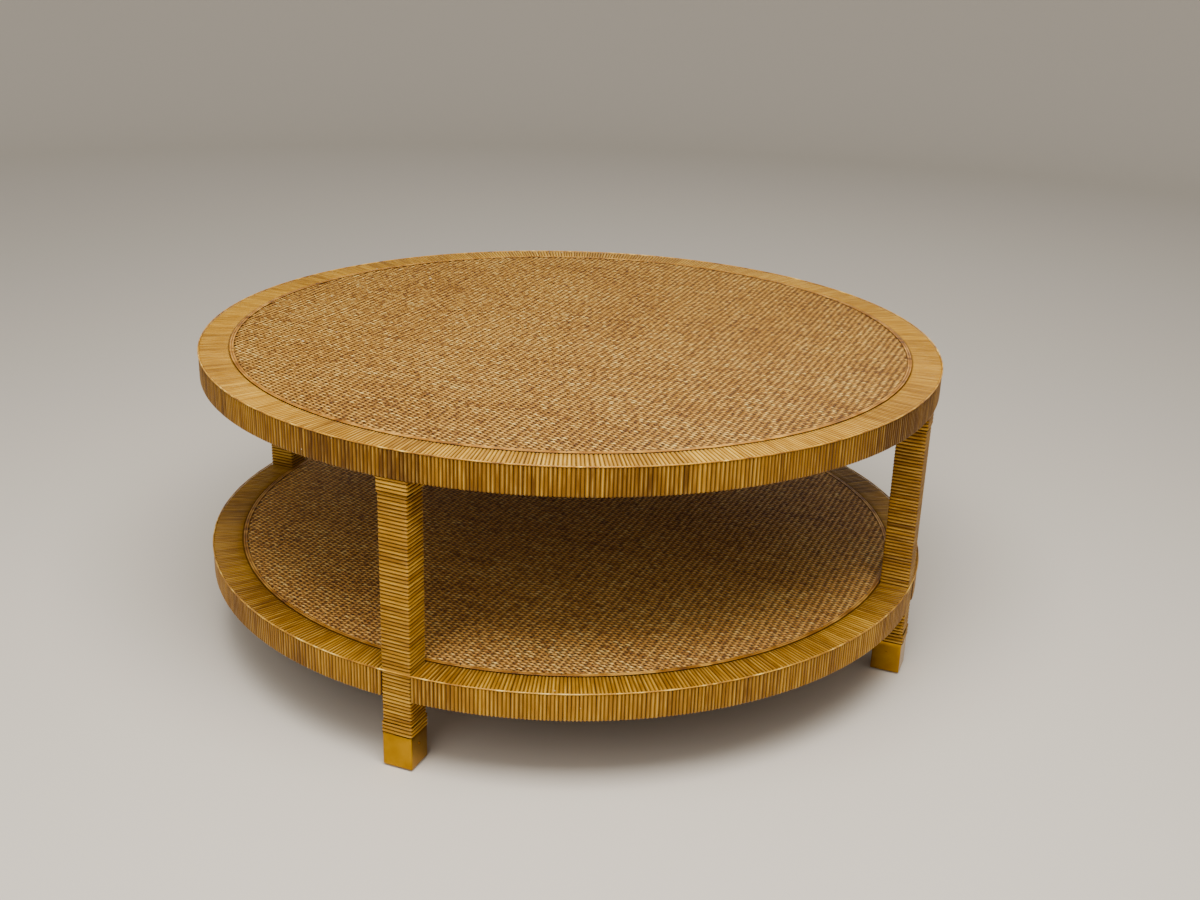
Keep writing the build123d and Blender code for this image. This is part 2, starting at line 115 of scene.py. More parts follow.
class Strands:
    """One piece made of many strips. Along x across points out of the surface."""

    def __init__(self):
        self.points, self.quads, self.tone, self.fibre, self.lift = [], [], [], [], []
        self.count = 0

    def add(self, points, tone, along, across, lift, closed_rows=False, closed_cols=False):
        rows, cols = points.shape[:2]
        shape = (rows, cols)
        self.quads.append(quad_grid(rows, cols, self.count, closed_rows, closed_cols))
        self.points.append(points.reshape(-1, 3))
        self.tone.append(np.broadcast_to(tone, shape).ravel())
        self.lift.append(np.broadcast_to(lift, shape).ravel())
        seed = np.full(shape, rng.random() * 50.0)
        fibre = [np.broadcast_to(along, shape), np.broadcast_to(across, shape), seed]
        self.fibre.append(np.stack(fibre, -1).reshape(-1, 3))
        self.count += rows * cols

    def build(self, name, material, nodes):
        points = np.concatenate(self.points).astype(np.float32)
        quads = np.concatenate(self.quads).astype(np.int32)
        mesh = bpy.data.meshes.new(name)
        mesh.vertices.add(len(points))
        mesh.vertices.foreach_set("co", points.ravel())
        mesh.loops.add(quads.size)
        mesh.loops.foreach_set("vertex_index", quads.ravel())
        mesh.polygons.add(len(quads))
        mesh.polygons.foreach_set("loop_start", np.arange(0, quads.size, 4, dtype=np.int32))
        mesh.update(calc_edges=True)
        mesh.polygons.foreach_set("use_smooth", np.ones(len(quads), bool))
        for key, values in (("tone", self.tone), ("lift", self.lift)):
            layer = mesh.attributes.new(key, "FLOAT", "POINT")
            layer.data.foreach_set("value", np.concatenate(values).astype(np.float32))
        layer = mesh.attributes.new("fibre", "FLOAT_VECTOR", "POINT")
        layer.data.foreach_set("vector", np.concatenate(self.fibre).astype(np.float32).ravel())
        mesh.validate()
        piece = bpy.data.objects.new(name, mesh)
        bpy.context.collection.objects.link(piece)
        mesh.materials.append(material)
        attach(piece, "root")
        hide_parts(*nodes)
        return piece


def smooth_noise(count, spacing, closed=False):
    """Random values that change gently over so many steps, about zero and about one high."""
    knots = max(4, int(count / spacing) + 2)
    values = rng.normal(0, 1, knots)
    if closed:
        values[-1] = values[0]
    t = np.linspace(0, knots - 1, count)
    i = np.minimum(t.astype(int), knots - 2)
    f = t - i
    f = f * f * (3 - 2 * f)
    return values[i] * (1 - f) + values[i + 1] * f


def across_section(section, width):
    """How far each corner of a section lies across the strand."""
    return np.array([u for u, h in section]) * width / 2


def turn(points, degrees):
    """Points turned about the table's upright axis."""
    a = math.radians(degrees)
    c, s = math.cos(a), math.sin(a)
    return points @ np.array([[c, s, 0], [-s, c, 0], [0, 0, 1]])


# ---- Materials ----


def rgb(r, g, b):
    """A linear colour from the usual 0 to 255 display values."""
    def linear(v):
        v = v / 255
        return v / 12.92 if v <= 0.04045 else ((v + 0.055) / 1.055) ** 2.4
    return (linear(r), linear(g), linear(b), 1.0)


class Nodes:
    """A small helper for wiring one material."""

    def __init__(self, name):
        self.material = bpy.data.materials.new(name)
        self.material.use_nodes = True
        self.tree = self.material.node_tree
        self.tree.nodes.clear()

    def new(self, kind, **values):
        node = self.tree.nodes.new(kind)
        for key, value in values.items():
            setattr(node, key, value)
        return node

    def link(self, source, target):
        self.tree.links.new(source, target)

    def attribute(self, name, output="Fac"):
        return self.new("ShaderNodeAttribute", attribute_name=name).outputs[output]

    def noise(self, vector, scale, detail=3.0, roughness=0.5):
        node = self.new("ShaderNodeTexNoise")
        node.inputs["Scale"].default_value = scale
        node.inputs["Detail"].default_value = detail
        node.inputs["Roughness"].default_value = roughness
        self.link(vector, node.inputs["Vector"])
        return node.outputs["Fac"]

    def scaled(self, vector, x, y, z):
        node = self.new("ShaderNodeVectorMath", operation="MULTIPLY")
        self.link(vector, node.inputs[0])
        node.inputs[1].default_value = (x, y, z)
        return node.outputs["Vector"]

    def math(self, operation, a, b, clamp=False):
        node = self.new("ShaderNodeMath", operation=operation, use_clamp=clamp)
        for value, socket in ((a, node.inputs[0]), (b, node.inputs[1])):
            if isinstance(value, (int, float)):
                socket.default_value = value
            else:
                self.link(value, socket)
        return node.outputs["Value"]

    def swing(self, value, middle, size, clamp=False):
        """How far a value is above middle, times size."""
        return self.math("MULTIPLY", self.math("SUBTRACT", value, middle), size, clamp)

    def ramp(self, value, stops):
        node = self.new("ShaderNodeValToRGB")
        elements = node.color_ramp.elements
        while len(elements) < len(stops):
            elements.new(0.5)
        for element, (position, colour) in zip(elements, stops):
            element.position = position
            element.color = colour
        self.link(value, node.inputs["Fac"])
        return node.outputs["Color"]

    def mix(self, factor, a, b, blend="MIX"):
        node = self.new("ShaderNodeMix", data_type="RGBA", blend_type=blend)
        for value, socket in ((factor, node.inputs[0]), (a, node.inputs[6]), (b, node.inputs[7])):
            if isinstance(value, (int, float, tuple)):
                socket.default_value = value
            else:
                self.link(value, socket)
        return node.outputs[2]

    def object_place(self):
        return self.new("ShaderNodeTexCoord").outputs["Object"]

    def finish(self, colour, roughness, height=None, bump=0.0, distance=0.0002, **sockets):
        shader = self.new("ShaderNodeBsdfPrincipled")
        self.link(colour, shader.inputs["Base Color"])
        if isinstance(roughness, float):
            shader.inputs["Roughness"].default_value = roughness
        else:
            self.link(roughness, shader.inputs["Roughness"])
        for key, value in sockets.items():
            shader.inputs[key.replace("_", " ")].default_value = value
        if height is not None:
            node = self.new("ShaderNodeBump")
            node.inputs["Strength"].default_value = bump
            node.inputs["Distance"].default_value = distance
            self.link(height, node.inputs["Height"])
            self.link(node.outputs["Normal"], shader.inputs["Normal"])
        output = self.new("ShaderNodeOutputMaterial")
        self.link(shader.outputs["BSDF"], output.inputs["Surface"])
        return self.material


FIBRE_STREAKS = (45.0, 2600.0, 1.0)  # noise cells per metre along and across a strand
FIBRE_BLOTCHES = (22.0, 60.0, 1.0)
FLECKS_PER_METRE = 62.0
FLECK_COLOUR = rgb(236, 218, 184)


def reed_material(
    name, stops, groove, groove_reach, groove_soft, groove_shade,
    crown, crown_highlight, roughness, gloss, coat, flecks,
):
    """Varnished reed: a tone for each strand, fibre streaks along it, painted shade in the grooves, a
    painted highlight on the crowns, flecks.
    """
    n = Nodes(name)
    fibre = n.attribute("fibre", "Vector")
    streaks = n.noise(n.scaled(fibre, *FIBRE_STREAKS), 1.0, 3.0)
    blotches = n.noise(n.scaled(fibre, *FIBRE_BLOTCHES), 1.0, 2.0)
    place = n.object_place()
    wide = n.noise(place, 5.0, 2.0)
    tone = n.math("ADD", n.attribute("tone"), n.swing(streaks, 0.5, 0.55))
    tone = n.math("ADD", tone, n.swing(blotches, 0.5, 0.6))
    tone = n.math("ADD", tone, n.swing(wide, 0.5, 0.5), clamp=True)
    colour = n.ramp(tone, stops)
    # Painted shade: where a strand lies low (small lift), its colour is pulled toward the groove colour,
    # standing for the shade in grooves, gaps and under other strands.
    lift = n.attribute("lift")
    depth = n.math("DIVIDE", n.math("SUBTRACT", groove_reach, lift), groove_soft, clamp=True)
    colour = n.mix(n.math("MULTIPLY", depth, groove_shade), colour, groove)
    # Painted highlight: a thin line in the crown colour along the top of each strand, broken into patches.
    painted_highlight = n.swing(lift, 0.94, 16.0, clamp=True)
    patches = n.swing(blotches, 0.4, 4.0, clamp=True)
    painted_highlight = n.math("MULTIPLY", n.math("MULTIPLY", painted_highlight, patches), crown_highlight)
    colour = n.mix(painted_highlight, colour, crown)
    cells = n.new("ShaderNodeTexVoronoi")
    cells.inputs["Scale"].default_value = FLECKS_PER_METRE
    n.link(place, cells.inputs["Vector"])
    chosen = n.new("ShaderNodeSeparateColor")
    n.link(cells.outputs["Color"], chosen.inputs["Color"])
    size = n.swing(chosen.outputs["Red"], 1.0 - flecks, 1.8)
    speck = n.math("LESS_THAN", cells.outputs["Distance"], size)
    high = n.math("GREATER_THAN", lift, 0.55)
    speck = n.math("MULTIPLY", n.math("MULTIPLY", speck, high), 0.75)
    colour = n.mix(speck, colour, FLECK_COLOUR)
    return n.finish(
        colour, roughness, streaks, 0.25, 0.00012,
        Coat_Weight=coat, Coat_Roughness=0.28, Specular_IOR_Level=gloss,
    )


top_weave = reed_material(
    "top_weave",
    (
        (0.0, rgb(124, 79, 22)), (0.35, rgb(192, 136, 48)),
        (0.65, rgb(222, 167, 70)), (1.0, rgb(246, 206, 112)),
    ),
    groove=rgb(66, 34, 2), groove_reach=0.92, groove_soft=0.75, groove_shade=0.92,
    crown=rgb(255, 234, 168), crown_highlight=0.7,
    roughness=0.46, gloss=0.18, coat=0.02, flecks=0.10,
)
shelf_weave = reed_material(
    "shelf_weave",
    (
        (0.0, rgb(138, 87, 34)), (0.35, rgb(208, 147, 64)),
        (0.65, rgb(234, 175, 84)), (1.0, rgb(250, 207, 118)),
    ),
    groove=rgb(66, 34, 8), groove_reach=0.82, groove_soft=0.76, groove_shade=0.86,
    crown=rgb(255, 230, 170), crown_highlight=0.6,
    roughness=0.44, gloss=0.22, coat=0.03, flecks=0.03,
)
reed_wrap = reed_material(
    "reed_wrap",
    ((0.0, rgb(92, 56, 2)), (0.3, rgb(136, 91, 10)), (0.62, rgb(170, 120, 20)), (1.0, rgb(206, 156, 46))),
    groove=rgb(58, 31, 0), groove_reach=0.93, groove_soft=0.5, groove_shade=0.7,
    crown=rgb(252, 220, 124), crown_highlight=0.5,
    roughness=0.42, gloss=0.16, coat=0.02, flecks=0.05,
)
cane_light = reed_material(
    "cane_strip",
    ((0.0, rgb(92, 50, 4)), (0.4, rgb(140, 88, 14)), (0.7, rgb(164, 110, 28)), (1.0, rgb(198, 144, 54))),
    groove=rgb(40, 18, 0), groove_reach=0.85, groove_soft=0.7, groove_shade=0.96,
    crown=rgb(240, 196, 120), crown_highlight=0.6,
    roughness=0.48, gloss=0.2, coat=0.02, flecks=0.05,
)
bead_light = reed_material(
    "reed_bead",
    ((0.0, rgb(112, 66, 4)), (0.4, rgb(172, 116, 16)), (0.7, rgb(200, 146, 32)), (1.0, rgb(244, 204, 104))),
    groove=rgb(70, 34, 0), groove_reach=0.3, groove_soft=0.3, groove_shade=0.92,
    crown=rgb(255, 232, 150), crown_highlight=0.5,
    roughness=0.36, gloss=0.3, coat=0.06, flecks=0.03,
)


def wood_material(name, dark, light, grain, roughness):
    """Sawn wood: long streaks along one row axis."""
    n = Nodes(name)
    place = n.object_place()
    stretch = [6.0 if axis == grain else 220.0 for axis in "xyz"]
    streaks = n.noise(n.scaled(place, *stretch), 1.0, 4.0, 0.6)
    rings = n.noise(n.scaled(place, *(v / 6 for v in stretch)), 1.0, 2.0)
    value = n.math("ADD", n.math("MULTIPLY", streaks, 0.6), n.math("MULTIPLY", rings, 0.4))
    colour = n.ramp(value, ((0.3, dark), (0.72, light)))
    return n.finish(colour, roughness, streaks, 0.3, 0.0003)


def metal_material(name, dark, light, roughness_low, roughness_high, scale):
    """Metal with a cloudy tarnish and fine scratches."""
    n = Nodes(name)
    place = n.object_place()
    cloud = n.noise(place, scale, 4.0, 0.55)
    scratches = n.noise(n.scaled(place, 900.0, 900.0, 60.0), 1.0, 2.0)
    colour = n.ramp(cloud, ((0.3, dark), (0.7, light)))
    spread = n.math("MULTIPLY", cloud, roughness_high - roughness_low)
    roughness = n.math("ADD", spread, roughness_low)
    return n.finish(colour, roughness, scratches, 0.15, 0.0001, Metallic=1.0)


def nylon_material(name, dark, light, roughness):
    n = Nodes(name)
    cloud = n.noise(n.object_place(), 300.0)
    return n.finish(n.ramp(cloud, ((0.3, dark), (0.7, light))), roughness)


BATTEN_DARK = rgb(120, 84, 52)
BATTEN_LIGHT = rgb(176, 134, 90)
plywood = wood_material("plywood", rgb(44, 26, 14), rgb(86, 54, 30), "x", 0.6)
# Painted shade: the rim is made dark brown so that it reads as the shade in the gaps between the reeds.
rim_wood = wood_material("rim_wood", rgb(58, 34, 16), rgb(104, 66, 36), "z", 0.6)
batten_x = wood_material("batten_x", BATTEN_DARK, BATTEN_LIGHT, "x", 0.55)
batten_y = wood_material("batten_y", BATTEN_DARK, BATTEN_LIGHT, "y", 0.55)
post_wood = wood_material("post_wood", rgb(90, 58, 32), rgb(140, 98, 60), "z", 0.6)
brass = metal_material("brass", rgb(156, 110, 4), rgb(184, 138, 12), 0.2, 0.3, 30.0)
steel = metal_material("steel", rgb(96, 92, 86), rgb(150, 146, 138), 0.35, 0.6, 200.0)
nylon = nylon_material("nylon", rgb(30, 26, 23), rgb(44, 39, 35), 0.55)


# ---- Tier sizes, read from the CAD ----


def tier_sizes(name, outer_radius):
    """A tier's heights and radii. The wrap is as thick under the rim as the mat is on the deck."""
    low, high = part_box(f"{name}_woven_mat")
    strip_low, strip_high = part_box(f"{name}_cane_strip")
    rim_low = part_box(f"{name}_rim_segments")[0]
    return {
        "name": name,
        "top": high.z,
        "seam": high.x,
        "strip_half": strip_high.x - high.x,
        "strip_top": strip_high.z,
        "strip_base": strip_low.z,
        "radius": outer_radius,
        "base": rim_low.z - (high.z - low.z),
    }


quarter_low, quarter_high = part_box("shelf_edge_wrap_back_right")
notch_half = quarter_low.y
shelf_radius = math.hypot(quarter_high.x, notch_half)
top_tier = tier_sizes("top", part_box("top_edge_wrap")[1].x)
shelf_tier = tier_sizes("shelf", shelf_radius)


# ---- Woven mats ----


def drift(points, reach):
    """Lets the rows and ribs wander a little, fading out toward the mat's edge."""
    x, y = points[..., 0].copy(), points[..., 1].copy()
    hold = 1 - np.clip(np.hypot(x, y) / reach, 0, 1) ** 8
    for k, (length, size) in enumerate(DRIFTS):
        points[..., 0] += hold * size * np.sin(2 * math.pi * (y / length + 0.37 * k) + 9 * x)
        points[..., 1] += hold * size * np.sin(2 * math.pi * (x / length + 0.61 * k) + 7 * y)


def lay_wefts(tier, material, reach):
    """Wefts run along X, over and under the stakes, in bands of rows."""
    middle = tier["top"] - WEFT_HEIGHT - WEFT_RISE
    rows = int(reach / WEFT_PITCH)
    step = STAKE_PITCH / SAMPLES_PER_STAKE
    row_numbers = np.arange(-rows, rows)
    band_count = math.ceil(len(row_numbers) / BAND_ROWS)
    for band, numbers in enumerate(np.array_split(row_numbers, band_count)):
        strands = Strands()
        for number in numbers:
            y = (number + 0.5) * WEFT_PITCH
            half = math.sqrt(max(reach**2 - y**2, 0.0))
            inner = int((half - 0.3 * step) / step)
            if inner < 2:
                continue
            x = np.concatenate(([-half], np.arange(-inner, inner + 1) * step, [half]))
            wave = np.cos(math.pi * (x / STAKE_PITCH + number + 0.09 * smooth_noise(len(x), 9)))
            jitter = smooth_noise(len(x), 14) + smooth_noise(len(x), 5)
            swell = WEFT_SWELL * np.cos(2 * math.pi * x / STAKE_PITCH)
            width = (WEFT_WIDTH + swell) / 2 * (1 + 0.09 * smooth_noise(len(x), 6))
            slack = WEFT_RISE * (1 + 0.18 * smooth_noise(len(x), 3)).clip(0.6, 1.06)
            edge = reach - np.hypot(x, y)
            tuck = np.clip((edge - DIP_START) / DIP_LENGTH, 0, 1)
            height = middle + slack * wave - MAT_DIP * (1 - tuck)
            points = np.empty((len(x), len(WEFT_SECTION), 3))
            lift = np.empty((len(x), len(WEFT_SECTION)))
            for k, (u, h) in enumerate(WEFT_SECTION):
                points[:, k, 0] = x
                points[:, k, 1] = y + WEFT_WANDER * jitter + u * width
                points[:, k, 2] = height + h * WEFT_HEIGHT
                # Painted shade: lift is lowest where the weft passes under a stake and where it dips under
                # the strip, so the material darkens it there.
                lift[:, k] = (0.5 + 0.5 * wave) ** 2.2 * (0.3 + 0.7 * h) * tuck
            drift(points, reach)
            grains = np.repeat(rng.normal(size=len(x) // SAMPLES_PER_STAKE + 2), SAMPLES_PER_STAKE)
            tone = 0.5 + 0.07 * rng.normal() + 0.18 * grains[: len(x)]
            tone = tone + 0.07 * smooth_noise(len(x), 24)
            across = across_section(WEFT_SECTION, WEFT_WIDTH)
            strands.add(points, tone[:, None], x[:, None], across[None, :], lift)
        name = tier["name"]
        strands.build(f"{name}_wefts_{band + 1}", material, [f"{name}_woven_mat"])


def lay_stakes(tier, material, reach):
    """Stakes run along Y."""
    stakes = Strands()
    count = int(reach / STAKE_PITCH)
    for number in range(-count, count + 1):
        x = number * STAKE_PITCH
        half = math.sqrt(reach**2 - x**2) - STAKE_SHORT
        samples = max(5, int(half / (6 * MM)) + 2)
        y = np.linspace(-half, half, samples)
        bend = STAKE_BEND * smooth_noise(samples, 4)
        points = np.empty((samples, len(WEFT_SECTION), 3))
        for k, (u, h) in enumerate(WEFT_SECTION):
            points[:, k, 0] = x + bend - u * STAKE_WIDTH / 2
            points[:, k, 1] = y
            points[:, k, 2] = tier["top"] - STAKE_TOP - STAKE_THICKNESS * (1 - h)
        drift(points, reach)
        across = across_section(WEFT_SECTION, STAKE_WIDTH)
        # Painted shade: the stakes get a low lift, so the material darkens them as lying in the gaps below
        # the wefts.
        lift = np.array([0.1 + 0.3 * h for u, h in WEFT_SECTION])
        stakes.add(points, 0.4 + 0.1 * rng.normal(), y[:, None], across[None, :], lift[None, :])
    name = tier["name"]
    stakes.build(f"{name}_stakes", material, [f"{name}_woven_mat"])


def weave(tier, material):
    reach = tier["seam"] - tier["strip_half"] + MAT_OVERLAP
    lay_wefts(tier, material, reach)
    lay_stakes(tier, material, reach)


# ---- Borders: each reed runs out from the strip, over the edge, down, and back underneath ----


def edge_path(tier):
    """Rows of radius, height, outward direction (radial, upright) and depth, along one reed."""
    outer, top, base = tier["radius"], tier["top"], tier["base"]
    start = tier["seam"] + tier["strip_half"]
    path = [(start + out, top, 0, 1, sink) for out, sink in BORDER_TUCK]
    path += [(start + out, top, 0, 1, 0.0) for out in (12 * MM, 26 * MM)]
    path.append((outer - EDGE_ROUND, top, 0, 1, 0.0))
    for degrees in (68, 45, 22, 0):
        a = math.radians(degrees)
        c, s = math.cos(a), math.sin(a)
        path.append((outer - EDGE_ROUND * (1 - c), top - EDGE_ROUND * (1 - s), c, s, 0.0))
    side_top, side_base = top - EDGE_ROUND, base + EDGE_ROUND
    for share in (0.3, 0.65, 1.0):
        path.append((outer, side_top + (side_base - side_top) * share, 1, 0, 0.0))
    for degrees in (-22, -45, -68, -90):
        a = math.radians(degrees)
        c, s = math.cos(a), math.sin(a)
        path.append((outer - EDGE_ROUND * (1 - c), base + EDGE_ROUND * (1 + s), c, s, 0.0))
    path.append((outer - 22 * MM, base, 0, -1, 0.0))
    path.append((tier["seam"] + 1.0 * MM, base, 0, -1, 0.0))
    return np.array(path)


def border(tier, name, start, end, nodes, legs, parallel, mean_tone, top_light_side_shade):
    """Reeds side by side from one angle to another, in radians.

    legs holds the angles of legs that meet the tier's underside. parallel makes the reeds beside
    a notch run parallel to it. The last argument is painted light and shade: paler on top, darker down the
    side.
    """
    path = edge_path(tier)
    radius = tier["radius"]
    count = round((end - start) * radius / REED_PITCH)
    widths = 1 + 0.07 * rng.normal(size=count) + 0.05 * smooth_noise(count, 9, closed=True)
    widths = np.clip(widths, 0.78, 1.25)
    angles = start + (end - start) * np.concatenate(([0.0], np.cumsum(widths))) / widths.sum()
    bundles = np.repeat(rng.normal(size=count).clip(-1.6, 1.6), rng.integers(7, 26, size=count))
    lengths = np.concatenate(([0.0], np.cumsum(np.hypot(np.diff(path[:, 0]), np.diff(path[:, 1])))))
    strands = Strands()

    def place(angle, r):
        """The reed's angle at each radius r, where it meets the tier's edge at the given angle."""
        if not parallel:
            return np.full(len(r), angle)
        leg = round(angle / (math.pi / 2)) * math.pi / 2
        away = angle - leg
        ease = min(1.0, abs(away) / math.radians(NOTCH_EASE))
        side = 1.0 - ease * ease * (3 - 2 * ease)
        across = radius * math.sin(away) * (side + (1 - side) * r / radius)
        return leg + np.arcsin(across / r)

    def meets_leg(angle):
        gaps = [abs((angle - leg + math.pi) % (2 * math.pi) - math.pi) for leg in legs]
        return any(gap * radius < UNDER_LEG for gap in gaps)

    for i in range(count):
        rows = len(path) - 2 if meets_leg(angles[i]) else len(path)
        r, z, nr, nz, sink = path[:rows].T
        first, last = place(angles[i], r), place(angles[i + 1], r)
        gap = 0.012 + 0.02 * rng.random() + (0.03 if rng.random() < 0.06 else 0.0)
        bump = 1 + 0.05 * rng.normal()
        sway = 0.03 * rng.normal() * np.sin(lengths[:rows] / lengths[-1] * math.pi * (1 + rng.random()))
        points = np.empty((rows, len(HALF_ROUND), 3))
        lift = np.empty((rows, len(HALF_ROUND)))
        crown = min(0.12 * MM, abs(rng.normal()) * 0.07 * MM)
        for k, (u, h) in enumerate(HALF_ROUND):
            share = 0.5 + 0.5 * u * (1 - gap) + sway
            angle = first * (1 - share) + last * share
            down = BORDER_GROOVE * (1 - h) * min(bump, 1.05) + sink + crown
            rr = r - nr * down
            points[:, k, 0] = rr * np.cos(angle)
            points[:, k, 1] = rr * np.sin(angle)
            points[:, k, 2] = z - nz * down
            # Painted shade: the part of a reed tucked in under the strip is darkened by how deep it sinks.
            lift[:, k] = h * (1 - sink / TUCK_SHADE)
        tone = mean_tone + 0.07 * rng.normal() + 0.08 * bundles[i]
        tone = tone - (0.12 if rng.random() < 0.04 else 0.0)
        # Painted light and shade: the upper face is made paler and the side darker, for how the light
        # falls.
        tone = tone + top_light_side_shade * np.where(nz > 0.5, 0.3, -0.7)
        across = across_section(HALF_ROUND, REED_PITCH)
        strands.add(points, tone[:, None], lengths[:rows, None], across[None, :], lift)
    strands.build(name, reed_wrap, nodes)


# ---- Strip and bead ----


def ring(name, material, nodes, path, section, inner_highlight, twist_wave):
    """A closed strand. path is its points and outward directions, section its corners in metres."""
    points_in, outward = path
    up = np.array([0.0, 0.0, 1.0])
    n = len(points_in)
    wobble = 1 + twist_wave * smooth_noise(n, 5, closed=True)
    low = min(h for u, h in section)
    high = max(h for u, h in section)
    points = np.empty((n, len(section), 3))
    lift = np.empty((n, len(section)))
    for k, (u, h) in enumerate(section):
        points[:, k] = points_in + outward * (u * wobble)[:, None] + up * h
        # lift drives the material's painted shade in the low parts and painted highlight on the crown.
        lift[:, k] = (h - low) / (high - low)
    steps = np.linalg.norm(np.diff(points_in, axis=0), axis=1)
    along = np.concatenate(([0.0], np.cumsum(steps)))
    tone = 0.5 + 0.1 * smooth_noise(n, 16, closed=True) + 0.22 * smooth_noise(n, 2, closed=True)
    # Painted highlight: the inner half of the section is made lighter.
    tone = tone[:, None] + np.array([inner_highlight if u < 0 else 0.0 for u, h in section])
    across = np.array([u for u, h in section])
    strands = Strands()
    strands.add(points, tone, along[:, None], across[None, :], lift, closed_rows=True, closed_cols=True)
    return strands.build(name, material, nodes)


def circle_path(radius, z, count):
    a = np.arange(count) / count * 2 * math.pi
    outward = np.stack([np.cos(a), np.sin(a), np.zeros(count)], -1)
    points = outward * radius
    points[:, 2] = z
    return points, outward


def cane_strip(tier):
    """A flat strip with a groove along its middle."""
    half = tier["strip_half"] - STRIP_GAP
    z = (tier["strip_top"] + tier["strip_base"]) / 2
    t = (tier["strip_top"] - tier["strip_base"]) / 2
    section = (
        (half, -t), (half, 0.1 * t), (0.84 * half, 0.8 * t), (0.52 * half, t), (0.2 * half, 0.7 * t),
        (0.0, -0.4 * t),
        (-0.2 * half, 0.7 * t), (-0.52 * half, t), (-0.84 * half, 0.8 * t), (-half, 0.1 * t), (-half, -t),
    )
    name = f"{tier['name']}_cane_strip"
    path = circle_path(tier["seam"], z, 720)
    # The 0.1 is a painted highlight on the strip's inner side.
    ring(f"{name}_band", cane_light, [name], path, section, 0.1, 0.015)


def bead(name, node, path, radius):
    ring(name, bead_light, [node], path, round_section(radius), 0.0, 0.04)


def round_section(radius, count=8):
    a = np.arange(count) / count * 2 * math.pi
    return tuple(zip(radius * np.cos(a), radius * np.sin(a)))


def top_bead():
    low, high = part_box("top_edge_bead")
    radius = (high.z - low.z) / 2
    path = circle_path(high.x - radius, (low.z + high.z) / 2, 900)
    bead("top_edge_bead_strand", "top_edge_bead", path, radius)


def shelf_bead():
    """Round the edge, and straight across each leg's outer face."""
    low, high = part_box("shelf_edge_bead")
    radius = (high.z - low.z) / 2
    z = (low.z + high.z) / 2
    run_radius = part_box("leg_right_wrap")[1].x + radius + BEAD_GAP
    run_half = notch_half + BEAD_OVERLAP
    path_radius = math.hypot(run_radius, run_half)
    corner = math.atan2(run_half, run_radius)
    run, bend = 8, 220  # points along a straight run and along an arc
    across = np.linspace(-run_half, run_half, run + 1)[:-1]
    straight = np.stack([np.full(run, run_radius), across, np.full(run, z)], -1)
    a = np.linspace(corner, math.pi / 2 - corner, bend + 1)[:-1]
    arc = np.stack([path_radius * np.cos(a), path_radius * np.sin(a), np.full(bend, z)], -1)
    quarter = np.concatenate((straight, arc))
    points = np.concatenate([turn(quarter, angle) for angle in LEG_ANGLES.values()])
    outward = points * np.array([1.0, 1.0, 0.0])
    outward /= np.linalg.norm(outward, axis=1)[:, None]
    bead("shelf_edge_bead_strand", "shelf_edge_bead", (points, outward), radius)


# ---- Legs: one strand wound round the post, and a thicker one for each collar ----


def square_loop(half, corner, side_steps, corner_steps):
    """Points and outward directions round a square with rounded corners, anticlockwise."""
    points, outward = [], []
    flat = half - corner
    for quarter in range(4):
        turn_by = quarter * 90
        side = [(half, y) for y in np.linspace(-flat, flat, side_steps + 1)]
        local_points = [(x, y, 0.0) for x, y in side]
        local_outward = [(1.0, 0.0, 0.0)] * len(side)
        for step in range(1, corner_steps):
            a = math.radians(90 * step / corner_steps)
            local_points.append((flat + corner * math.cos(a), flat + corner * math.sin(a), 0.0))
            local_outward.append((math.cos(a), math.sin(a), 0.0))
        points.append(turn(np.array(local_points), turn_by))
        outward.append(turn(np.array(local_outward), turn_by))
    return np.concatenate(points), np.concatenate(outward)


def winding(name, node, pitch, height, tone_mean):
    """A half-round reed wound down the leg, cut square at the node's upper and lower ends."""
    low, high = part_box(node)
    centre = np.array([(low.x + high.x) / 2, (low.y + high.y) / 2, 0.0])
    half = (high.x - low.x) / 2
    loop, outward = square_loop(half, EDGE_ROUND, 6, 4)
    per_turn = len(loop)
    turns = (high.z - low.z) / pitch + 1.1  # a little over, so that the winding fills the node
    n = int(turns * per_turn)
    index = np.arange(n)
    lap = index / per_turn
    spacing = 1 + np.clip(rng.normal(0, 0.05, int(turns) + 2), -0.12, 0.12)
    knots = np.concatenate(([0.0], np.cumsum(spacing)))
    knots *= (len(knots) - 1) / knots[-1]
    upper = high.z + pitch - pitch * np.interp(lap, np.arange(len(knots)), knots)
    lower = high.z + pitch - pitch * np.interp(lap + 1, np.arange(len(knots)), knots)
    base = loop[index % per_turn]
    out = outward[index % per_turn]
    tones = 0.5 + tone_mean + 0.08 * smooth_noise(n, 60) + 0.09 * smooth_noise(n, 12)
    points = np.empty((n, len(HALF_ROUND), 3))
    lift = np.empty((n, len(HALF_ROUND)))
    for k, (u, h) in enumerate(HALF_ROUND):
        share = 0.5 + 0.5 * u * TURN_FILL
        z = np.clip(lower * (1 - share) + upper * share, low.z, high.z)
        points[:, k] = centre + base - out * height * (1 - h)
        points[:, k, 2] = z
        # lift drives the material's painted shade in the grooves and painted highlight on the crown.
        lift[:, k] = h
    steps = np.linalg.norm(np.diff(base, axis=0), axis=1)
    along = np.concatenate(([0.0], np.cumsum(steps)))
    across = across_section(HALF_ROUND, pitch)
    strands = Strands()
    strands.add(points, tones[:, None], along[:, None], across[None, :], lift)
    strands.build(name, reed_wrap, [node])


